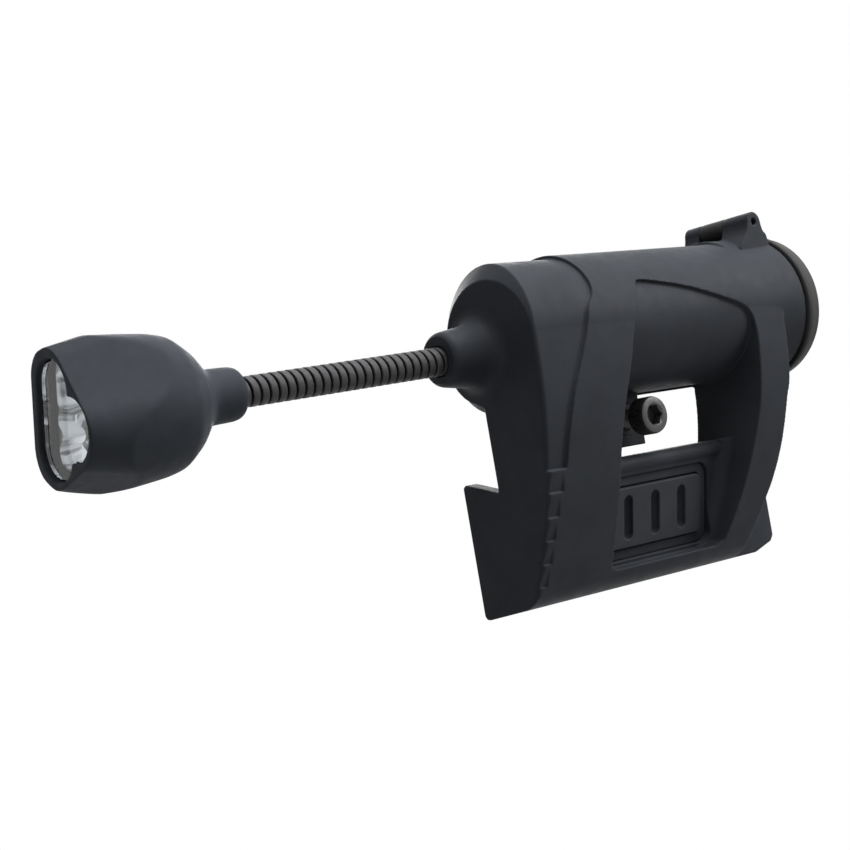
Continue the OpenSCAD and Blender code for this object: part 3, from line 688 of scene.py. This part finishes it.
def knurl(shape, centre, radius, low, high, ribs, deep):
    """Press upright ribs into the round side of a head that lies along Y."""
    for vertex in shape.data.vertices:
        x, y, z = vertex.co
        from_axis = Vector((x - centre[0], 0, z - centre[1]))
        if low < y < high and from_axis.length > radius - 0.05:
            turn = math.atan2(from_axis.z, from_axis.x) * ribs
            from_axis.length -= deep * (0.5 + 0.5 * math.cos(turn))
            vertex.co = (centre[0] + from_axis.x, y, centre[1] + from_axis.z)


def clamp_screw():
    """Cap screw with a knurled head, a six-sided socket and a threaded shank."""
    top = TAB_Y - HEAD_GAP - HEAD_LEN
    under = TAB_Y - HEAD_GAP
    place = Matrix.Translation((CLAMP_X, 0, CLAMP_Z)) @ ALONG_Y
    side = [(HEAD_R, top + 0.45 + (HEAD_LEN - 0.75) * i / 6) for i in range(7)]
    head = turned([(0, top), (HEAD_R - 0.4, top), (HEAD_R - 0.15, top + 0.12)] + side
                  + [(HEAD_R - 0.2, under), (0, under)], place, 180)
    knurl(head, (CLAMP_X, CLAMP_Z), HEAD_R, top + 0.3, under - 0.1, ribs=45, deep=0.08)
    socket = arc((0, 0), SOCKET_R, 0, 300, 5)
    mouth = turned([(0, top - 0.2), (SOCKET_R + 0.3, top - 0.2), (SOCKET_R - 0.2, top + 0.3),
                    (0, top + 0.3)], place)
    cut(head, prism(socket, top - 1, top + SOCKET_DEEP, place), mouth)
    shank = threaded(CLAMP_R, under - 0.1, SEAT_Y + 1.4, THREAD_PITCH, THREAD_DEEP, place)
    return crisp(join(head, shank), 35)


def threaded(radius, low, high, pitch, deep, place):
    """Round bar with a screw thread pressed into it."""
    bm = bmesh.new()
    sides = 48
    rows = round((high - low) / pitch * 8)
    bmesh.ops.create_cone(bm, cap_ends=True, segments=sides, radius1=radius, radius2=radius,
                          depth=high - low)
    long_edges = [e for e in bm.edges if abs(e.verts[0].co.z - e.verts[1].co.z) > 1e-6]
    bmesh.ops.subdivide_edges(bm, edges=long_edges, cuts=rows, use_grid_fill=True)
    bmesh.ops.translate(bm, verts=bm.verts, vec=(0, 0, (low + high) / 2))
    for vertex in bm.verts:
        turn = vertex.co.z / pitch - math.atan2(vertex.co.y, vertex.co.x) / math.tau
        tooth = abs(2 * (turn % 1) - 1)
        shrink = 1 - deep / radius * (1 - tooth)
        if low + 0.01 < vertex.co.z < high - 0.01:
            vertex.co.x *= shrink
            vertex.co.y *= shrink
    return solid(bm, place)


def clamp_pad():
    place = Matrix.Translation((CLAMP_X, 0, CLAMP_Z)) @ ALONG_Y
    pad = turned([(0, SEAT_Y + 0.3), (2.7, SEAT_Y + 0.3)] + arc((2.7, SEAT_Y + 0.6), 0.3, -90, 0, 4)
                 + arc((2.4, SEAT_Y + 1.7), 0.6, 0, 90, 6) + [(0, SEAT_Y + 2.3)], place, 72)
    return crisp(cut(pad, rod(CLAMP_R + 0.06, SEAT_Y, SEAT_Y + 1.5, place)))


piece(foot_cover(), "foot_cover_plate", moulded, "body", ["foot_cover"])
piece(cover_screws(), "cover_screw_set", bright_steel, "body", ["cover_screws"])
piece(clamp_screw(), "clamp_cap_screw", black_steel, "clamp_bolt", ["clamp_screw"])
piece(clamp_pad(), "clamp_pressure_pad", seal_rubber, "clamp_foot", ["clamp_pad"])


# Switch

GROOVE_STEP = PAD_W * 0.287
GROOVE_R = 0.9
GROOVE_DEEP = 1.1


def switch_bezel():
    in_pad = PAD_IN_TUBE @ ALONG_Y
    wide = 2 * (PAD_GAP + BEZEL_W) - 0.1
    ring = prism(rounded(PAD_W + wide, PAD_H + wide, 1.95), BEZEL_IN, BEZEL_IN + BEZEL_T, in_pad)
    cut(ring, prism(rounded(PAD_W + 2 * PAD_GAP, PAD_H + 2 * PAD_GAP, 0.9), -2, 4, in_pad))
    return soften(ring, voxel=0.12, passes=3, triangles=40000)


def switch_pad():
    in_pad = PAD_IN_TUBE @ ALONG_Y
    pad = prism(rounded(PAD_W, PAD_H, 0.8), 0, PAD_DEEP + 0.2, in_pad)
    flange_w = 2 * FLANGE_OVER
    flange = prism(rounded(PAD_W + flange_w, PAD_H + flange_w, 1.3), PAD_DEEP, PAD_DEEP + FLANGE_T, in_pad)
    join(pad, flange, rod(2, PAD_DEEP + 0.2, PAD_DEEP + FLANGE_T + STEM_LEN, in_pad))
    half = PAD_H * 0.37 - GROOVE_R
    for i in (-1, 0, 1):
        place = PAD_IN_TUBE @ Matrix.Translation((i * GROOVE_STEP, GROOVE_DEEP - GROOVE_R, 0))
        ends = arc((0, half), GROOVE_R, 0, 90, 8)
        low_ends = [(r, -z) for r, z in reversed(ends[:-1])]
        cut(pad, turned([(0, -half - GROOVE_R)] + low_ends + ends, place, 48))
    return soften(pad, voxel=0.11, passes=3, triangles=90000)


piece(switch_bezel(), "switch_bezel_ring", pad_rubber, "body", ["switch_bezel"])
piece(switch_pad(), "switch_press_pad", pad_rubber, "switch", ["switch_pad"])


# Battery door and cell

def battery_door():
    edge = 1
    outer = RIM_R - 0.2
    profile = ([(0, DOOR_X), (RIM_R + 0.05, DOOR_X), (RIM_R + 0.2, DOOR_X + 0.15),
                (RIM_R + 0.2, DOOR_X + 0.9)]
               + arc((outer - edge, DOOR_X + DOOR_T - edge), edge, 0, 90, 10) + [(0, DOOR_X + DOOR_T)])
    door = turned(profile, TURN_ON_X, 180)
    low, high = DOOR_KNUCKLE
    strap = ([(HINGE_X, RIM_R + 0.3), (DOOR_X, RIM_R + 0.3), (DOOR_X, RIM_R * 0.7),
              (DOOR_X + DOOR_T - edge, RIM_R * 0.7)]
             + curve([(DOOR_X + DOOR_T - edge, RIM_R + 0.4), (DOOR_X + 1, RIM_R + 1.9),
                      (HINGE_X, HINGE_Z + KNUCKLE_R)]))
    tongue = [(DOOR_X - 3, -RIM_R - 0.9), (DOOR_X, -RIM_R - 0.9), (DOOR_X, -RIM_R + 2),
              (DOOR_X + 1, -RIM_R + 2), (DOOR_X + 1, -RIM_R - 2), (DOOR_X - 3, -RIM_R - 2)]
    join(door, y_rod(HINGE_X, HINGE_Z, KNUCKLE_R, low, high), prism(strap, low, high, ALONG_Y),
         prism(tongue, -2.6, 1.6, ALONG_Y))
    cut(door, y_rod(HINGE_X, HINGE_Z, PIN_R + 0.06, -8, 8))
    return soften(door, voxel=0.16, passes=3, triangles=110000)


def door_spring():
    """Conical coil between the door's contact and the cell."""
    turns = 2.75
    wire = 0.3
    wide = 4.6
    narrow = 3.2
    length = 3.7 - 0.12 - 2 * wire
    start = TUBE_LEN + 0.1 - wire
    bm = bmesh.new()
    upright = Matrix.Translation((wide, 0, 0)) @ Matrix.Rotation(math.pi / 2, 4, "X")
    ring = bmesh.ops.create_circle(bm, cap_ends=True, segments=12, radius=wire, matrix=upright)
    steps = round(turns * 40)
    disc = list(ring["verts"][0].link_faces)
    bmesh.ops.spin(bm, geom=disc, cent=(0, 0, 0), axis=(0, 0, 1), dvec=(0, 0, -length / steps),
                   angle=math.tau * turns, steps=steps)
    for vertex in bm.verts:
        flat = Vector((vertex.co.x, vertex.co.y, 0))
        flat.length += (wide - narrow) * min(0, max(-1, vertex.co.z / length))
        vertex.co.x, vertex.co.y = flat.x, flat.y
    return crisp(solid(bm, Matrix.Translation((start, 0, 0)) @ TURN_ON_X), 60)


def cell_body():
    """Sleeved cell with a rolled shoulder and its nub."""
    radius = 7.25
    front = 4.9
    rear = 54.2
    profile = ([(0, CELL_FRONT), (2.4, CELL_FRONT)] + arc((2.4, CELL_FRONT + 0.3), 0.3, -90, 0, 4)
               + [(2.7, front), (radius - 0.9, front)] + arc((radius - 0.6, front + 0.6), 0.6, -90, 0, 5)
               + arc((radius - 0.5, rear - 0.5), 0.5, 0, 90, 5)
               + [(5.9, rear), (5.7, rear - 0.12), (0, rear - 0.12)])
    return crisp(turned(profile, TURN_ON_X, 96))


def hinge_pin():
    return crisp(y_rod(HINGE_X, HINGE_Z, PIN_R, PIN_NEAR, PIN_FAR, 0.12))


piece(battery_door(), "battery_door_cap", door_plastic, "door", ["battery_door"])
piece(door_spring(), "door_coil_spring", bright_steel, "door", ["door_spring"])
piece(cell_body(), "battery_cell_body", cell_sleeve, "body", ["battery_cell"])
piece(hinge_pin(), "hinge_pin_rod", insert_steel, "body", ["hinge_pin"])


# Gooseneck: a wound strip, cut at the middle of each link so that every stretch lies round one joint

GROOVE_HALF = 0.25
GROOVE_DEPTH = 0.35
STRIP_CROWN = 0.05
NECK_SIDES = 48
NECK_IN_BOSS = 3
NECK_IN_LAMP = 2.5
ROWS_A_BAND = 22


def strip_depth(u, angle):
    """How far the wound strip lies below the neck's outer radius."""
    phase = (u / BAND_PITCH - angle / math.tau) % 1
    from_groove = min(phase, 1 - phase) * BAND_PITCH
    crown = STRIP_CROWN * (1 - 2 * from_groove / BAND_PITCH) ** 2
    if from_groove > GROOVE_HALF:
        return crown
    return crown + GROOVE_DEPTH * (0.5 + 0.5 * math.cos(math.pi * from_groove / GROOVE_HALF))


def neck_stretch(low, high):
    bm = bmesh.new()
    for radius in (NECK_R, NECK_BORE):
        bmesh.ops.create_cone(bm, cap_ends=False, segments=NECK_SIDES, radius1=radius, radius2=radius,
                              depth=high - low)
    outside = [e for e in bm.edges if abs(e.verts[0].co.z - e.verts[1].co.z) > 1e-6
               and e.verts[0].co.xy.length > 1]
    rows = round((high - low) / BAND_PITCH * ROWS_A_BAND)
    bmesh.ops.subdivide_edges(bm, edges=outside, cuts=rows, use_grid_fill=True)
    for end in (-1, 1):
        rim = [e for e in bm.edges if e.is_boundary and e.verts[0].co.z * end > 0]
        bmesh.ops.bridge_loops(bm, edges=rim)
    bmesh.ops.translate(bm, verts=bm.verts, vec=(0, 0, (low + high) / 2))
    groove = bm.verts.layers.float.new("groove")
    for vertex in bm.verts:
        if vertex.co.xy.length > 1:
            depth = strip_depth(vertex.co.z, math.atan2(vertex.co.y, vertex.co.x))
            # This groove depth also drives the painted shade in the steel's grooves.
            vertex[groove] = depth / GROOVE_DEPTH
            vertex.co.xy *= 1 - depth / NECK_R
    return crisp(solid(bm, NECK_IN_TUBE), 80)


neck_bodies = ["body"] + [f"link_{i}" for i in range(1, JOINTS)] + ["lamp"]
for number, (before, after) in enumerate(zip(neck_bodies, neck_bodies[1:])):
    low = BOSS_LEN + number * LINK
    high = low + LINK
    first = number == 0
    last = number == JOINTS - 1
    stretch = neck_stretch(low - NECK_IN_BOSS if first else low, high + NECK_IN_LAMP if last else high)
    stretch.name = stretch.data.name = f"gooseneck_strip_{number + 1}"
    stretch.data.transform(TUBE)
    stretch.data.materials.append(wound_steel)
    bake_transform(stretch)
    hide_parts("neck_root" if first else f"neck_link_{number}", *(["neck_tip"] if last else []))


# Lamp

BELL_LINE = [(2.7, 0), (3.25, 0.3), (3.45, 1), (3.5, 2.8), (3.55, 4.9), (3.8, 5.4), (6.6, 8), (8.3, 10.3),
             (8.75, 12.4), (9.1, 16), (9.35, 19.3), (9.4, 20), (9.25, 20.9), (8.55, LAMP_LEN)]
LAMP_IN_TUBE = NECK_IN_TUBE @ Matrix.Translation((0, 0, LAMP_U))
MELT_REACH = 9
MELT_PASSES = 90
LAMP_TRIANGLES = 150000


def around(circles):
    """Outline stretched round circles, each given by its middle and radius."""
    points = [Vector(p) for middle, radius in circles for p in arc(middle, radius, 0, 354, 59)]
    return [points[i] for i in convex_hull_2d(points)]


def rim_wedge(inset):
    """The lamp's three-cornered rim pushed back along its axis, widening as it goes."""
    wedge = prism(around([(middle, radius - inset) for middle, radius in RIM_CORNERS]), -1, LAMP_LEN + 2)
    for vertex in wedge.data.vertices:
        vertex.co.xy *= 1 + (LAMP_LEN - vertex.co.z) * RIM_TAPER
    return wedge


def lamp_bell(inset, low, high):
    """The lamp's form between two heights, taken in all round by inset."""
    line = [(radius - inset, height) for radius, height in BELL_LINE]
    bell = turned([(0, 0)] + line + [(0, LAMP_LEN)], steps=160)
    return keep(bell, rim_wedge(inset), rod(30, low, high))


def at_cups():
    for turn in CUP_TURNS:
        yield (Matrix.Rotation(math.radians(LAMP_TURN + turn), 4, "Z")
               @ Matrix.Translation((CUP_RING, 0, REFLECTOR_U)))


def opening(inset, high):
    """The lens opening as a solid, taken in all round by inset."""
    far = [(middle, radius - inset) for middle, radius in OPENING_FAR]
    near = [(OPENING_NEAR[0], OPENING_NEAR[1] - inset)]
    return join(prism(around(far), LENS_U, high), prism(around(near), LENS_U, high), rod(3, LENS_U, high))


def lamp_housing():
    housing = lamp_bell(0, 0, LAMP_LEN)
    cut(housing, rod(NECK_HOLE, -1, TIP_LEN + 1), rod(FERRULE_R + 0.02, TIP_LEN - 0.1, CAVITY_U + 1),
        lamp_bell(LAMP_WALL, CAVITY_U, LENS_U + LENS_T + 0.05), opening(0, LAMP_LEN + 1))
    soften(housing, voxel=0.15, passes=4, triangles=400000)
    return blend_back(housing)


def blend_back(shape):
    """Melt the creases of the lamp more and more towards its back."""
    group = shape.vertex_groups.new(name="back")
    for vertex in shape.data.vertices:
        group.add([vertex.index], max(0, min(1, (LENS_U - vertex.co.z) / MELT_REACH)), "REPLACE")
    melt = shape.modifiers.new("melt", "SMOOTH")
    melt.factor = 0.5
    melt.iterations = MELT_PASSES
    melt.vertex_group = "back"
    thin = shape.modifiers.new("thin", "DECIMATE")
    thin.ratio = min(1, LAMP_TRIANGLES / (2 * len(shape.data.polygons)))
    bake(shape)
    shape.vertex_groups.clear()
    shape.data.shade_smooth()
    return shape


def reflector():
    cup = curve([(1.1, 0.6), (2.1, 2), (2.8, 3.4), (3.3, 4.8), (CUP_R, CUP_LEN + 0.2)], 6)
    profile = [(0, -0.1), (1.1, -0.1)] + cup + [(0, CUP_LEN + 0.2)]
    mirrors = lamp_bell(LAMP_WALL + INNER_PLAY, REFLECTOR_U, LENS_U - SEAL_T)
    cut(mirrors, *[turned(profile, place, 72) for place in at_cups()])
    return crisp(mirrors, 35)


def lens():
    """Clear pane whose middle stands up into the opening."""
    pane = lamp_bell(LAMP_WALL + INNER_PLAY, LENS_U, LENS_U + LENS_T)
    return crisp(join(pane, opening(0.12, LENS_U + LENS_T + LENS_RISE)), 35)


def lens_seal():
    ring = lamp_bell(LAMP_WALL + INNER_PLAY, LENS_U - SEAL_T, LENS_U)
    return crisp(cut(ring, lamp_bell(LAMP_WALL + SEAL_W, LENS_U - 1, LENS_U + 1)), 35)


def leds():
    """Three emitters, each a round base with a small dome."""
    chips = None
    for place in at_cups():
        chip = turned([(0, 0), (0.95, 0), (0.95, 0.4), (0.85, 0.5), (0.7, 0.5)]
                      + arc((0, 0.45), 0.68, 5, 90, 8), place, 40)
        chips = join(chips, chip) if chips else chip
    return crisp(chips, 40)


LAMP = TUBE @ LAMP_IN_TUBE
piece(lamp_housing(), "lamp_housing_bell", lamp_shell, "lamp", ["lamp_housing"], LAMP)
piece(reflector(), "lamp_reflector", mirror, "lamp", ["reflector"], LAMP)
piece(lens(), "lamp_lens", clear, "lamp", ["lens"], LAMP)
piece(leds(), "lamp_emitters", phosphor, "lamp", ["leds"], LAMP)
piece(lens_seal(), "lamp_lens_seal", seal_rubber, "lamp", ["lens_seal"], LAMP)


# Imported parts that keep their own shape

FINISHES = {
    bright_steel: ["tact_switch", "ground_strip"],
    brass: ["front_contact", "door_contact", "body_ferrule", "lamp_ferrule"],
    insert_steel: ["clamp_insert"],
    aluminium: ["lamp_carrier"],
    board_green: ["driver_board"],
    board_white: ["led_board"],
    chip_black: ["board_parts", "tact_plunger"],
    seal_rubber: ["door_gasket"],
    sleeve_red: ["body_lead", "lead_root", "lead_tip"] + [f"lead_{i}" for i in range(1, JOINTS)],
}
for surface, names in FINISHES.items():
    for name in names:
        node[name].data.materials.clear()
        node[name].data.materials.append(surface)


# Stage: pale floor, soft light and the photograph's camera

FLOOR_Z = -0.5
ROOM_LIGHT = 0.035
WHITE = (1, 1, 1, 1)
# Soft lights: name, place from the object's middle, size in metres and power in watts.
SOFT_LIGHTS = [
    ("top light", (0.1, -0.15, 0.55), 0.5, 4.5),
    ("side light", (0.5, -0.4, 0.3), 0.35, 2.6),
    ("back light", (0.3, 0.5, 0.15), 0.4, 2.2),
    ("front fill", (-0.45, -0.15, -0.15), 0.3, 0.16),
]
CAMERA_PLACE = TUBE @ Vector((-150.13, -168.02, -16.0))
CAMERA_AZIMUTH = -39.28
CAMERA_ELEVATION = -1.44
CAMERA_ROLL = 9.697
CAMERA_LENS = 68.54


def seen_white(tree, white, others, output):
    """White to the camera and in mirrors and glass, and the other shader for the light itself."""
    path = tree.nodes.new("ShaderNodeLightPath")
    seen = path.outputs["Is Camera Ray"]
    for ray in ("Is Glossy Ray", "Is Transmission Ray"):
        either = tree.nodes.new("ShaderNodeMath")
        either.operation = "MAXIMUM"
        tree.links.new(seen, either.inputs[0])
        tree.links.new(path.outputs[ray], either.inputs[1])
        seen = either.outputs[0]
    mix = tree.nodes.new("ShaderNodeMixShader")
    tree.links.new(seen, mix.inputs["Fac"])
    tree.links.new(others, mix.inputs[1])
    tree.links.new(white, mix.inputs[2])
    tree.links.new(mix.outputs["Shader"], output.inputs["Surface"])


def light_world():
    world = bpy.data.worlds.new("studio")
    world.use_nodes = True
    bpy.context.scene.world = world
    tree = world.node_tree
    room = tree.nodes["Background"]
    room.inputs["Color"].default_value = (0.93, 0.96, 1.0, 1)
    room.inputs["Strength"].default_value = ROOM_LIGHT
    white = tree.nodes.new("ShaderNodeBackground")
    white.inputs["Color"].default_value = WHITE
    white.inputs["Strength"].default_value = 1
    seen_white(tree, white.outputs["Background"], room.outputs["Background"], tree.nodes["World Output"])


def pale_floor():
    bm = bmesh.new()
    bmesh.ops.create_grid(bm, x_segments=1, y_segments=1, size=2)
    floor = solid(bm, Matrix.Translation((0, 0, FLOOR_Z)))
    floor.name = "floor"
    paint, tree, shader = material("pale floor", (0.5, 0.5, 0.5), 0.9)
    glow = tree.nodes.new("ShaderNodeEmission")
    glow.inputs["Color"].default_value = WHITE
    glow.inputs["Strength"].default_value = 1
    seen_white(tree, glow.outputs["Emission"], shader.outputs["BSDF"], tree.nodes["Material Output"])
    floor.data.materials.append(paint)


def softbox(name, place, target, size, power):
    lamp = bpy.data.lights.new(name, "AREA")
    lamp.size = size
    lamp.energy = power
    box = bpy.data.objects.new(name, lamp)
    box.location = place
    box.rotation_mode = "QUATERNION"
    box.rotation_quaternion = (target - place).to_track_quat("-Z", "Y")
    box.visible_camera = False
    bpy.context.scene.collection.objects.link(box)


def photo_camera():
    data = bpy.data.cameras.new("photo camera")
    data.sensor_width = 36
    data.lens = CAMERA_LENS
    data.clip_start = 0.01
    camera = bpy.data.objects.new("photo camera", data)
    azimuth = math.radians(CAMERA_AZIMUTH)
    elevation = math.radians(CAMERA_ELEVATION)
    back = Vector((math.sin(azimuth) * math.cos(elevation), -math.cos(azimuth) * math.cos(elevation),
                   math.sin(elevation)))
    roll = Quaternion((0, 0, 1), math.radians(-CAMERA_ROLL))
    camera.rotation_mode = "QUATERNION"
    camera.rotation_quaternion = (-back).to_track_quat("-Z", "Y") @ roll
    camera.location = CAMERA_PLACE
    bpy.context.scene.collection.objects.link(camera)
    bpy.context.scene.camera = camera


light_world()
pale_floor()
middle = (cad_low + cad_high) / 2
for name, offset, size, power in SOFT_LIGHTS:
    softbox(name, middle + Vector(offset), middle, size, power)
photo_camera()
bpy.context.scene.view_settings.view_transform = "Standard"
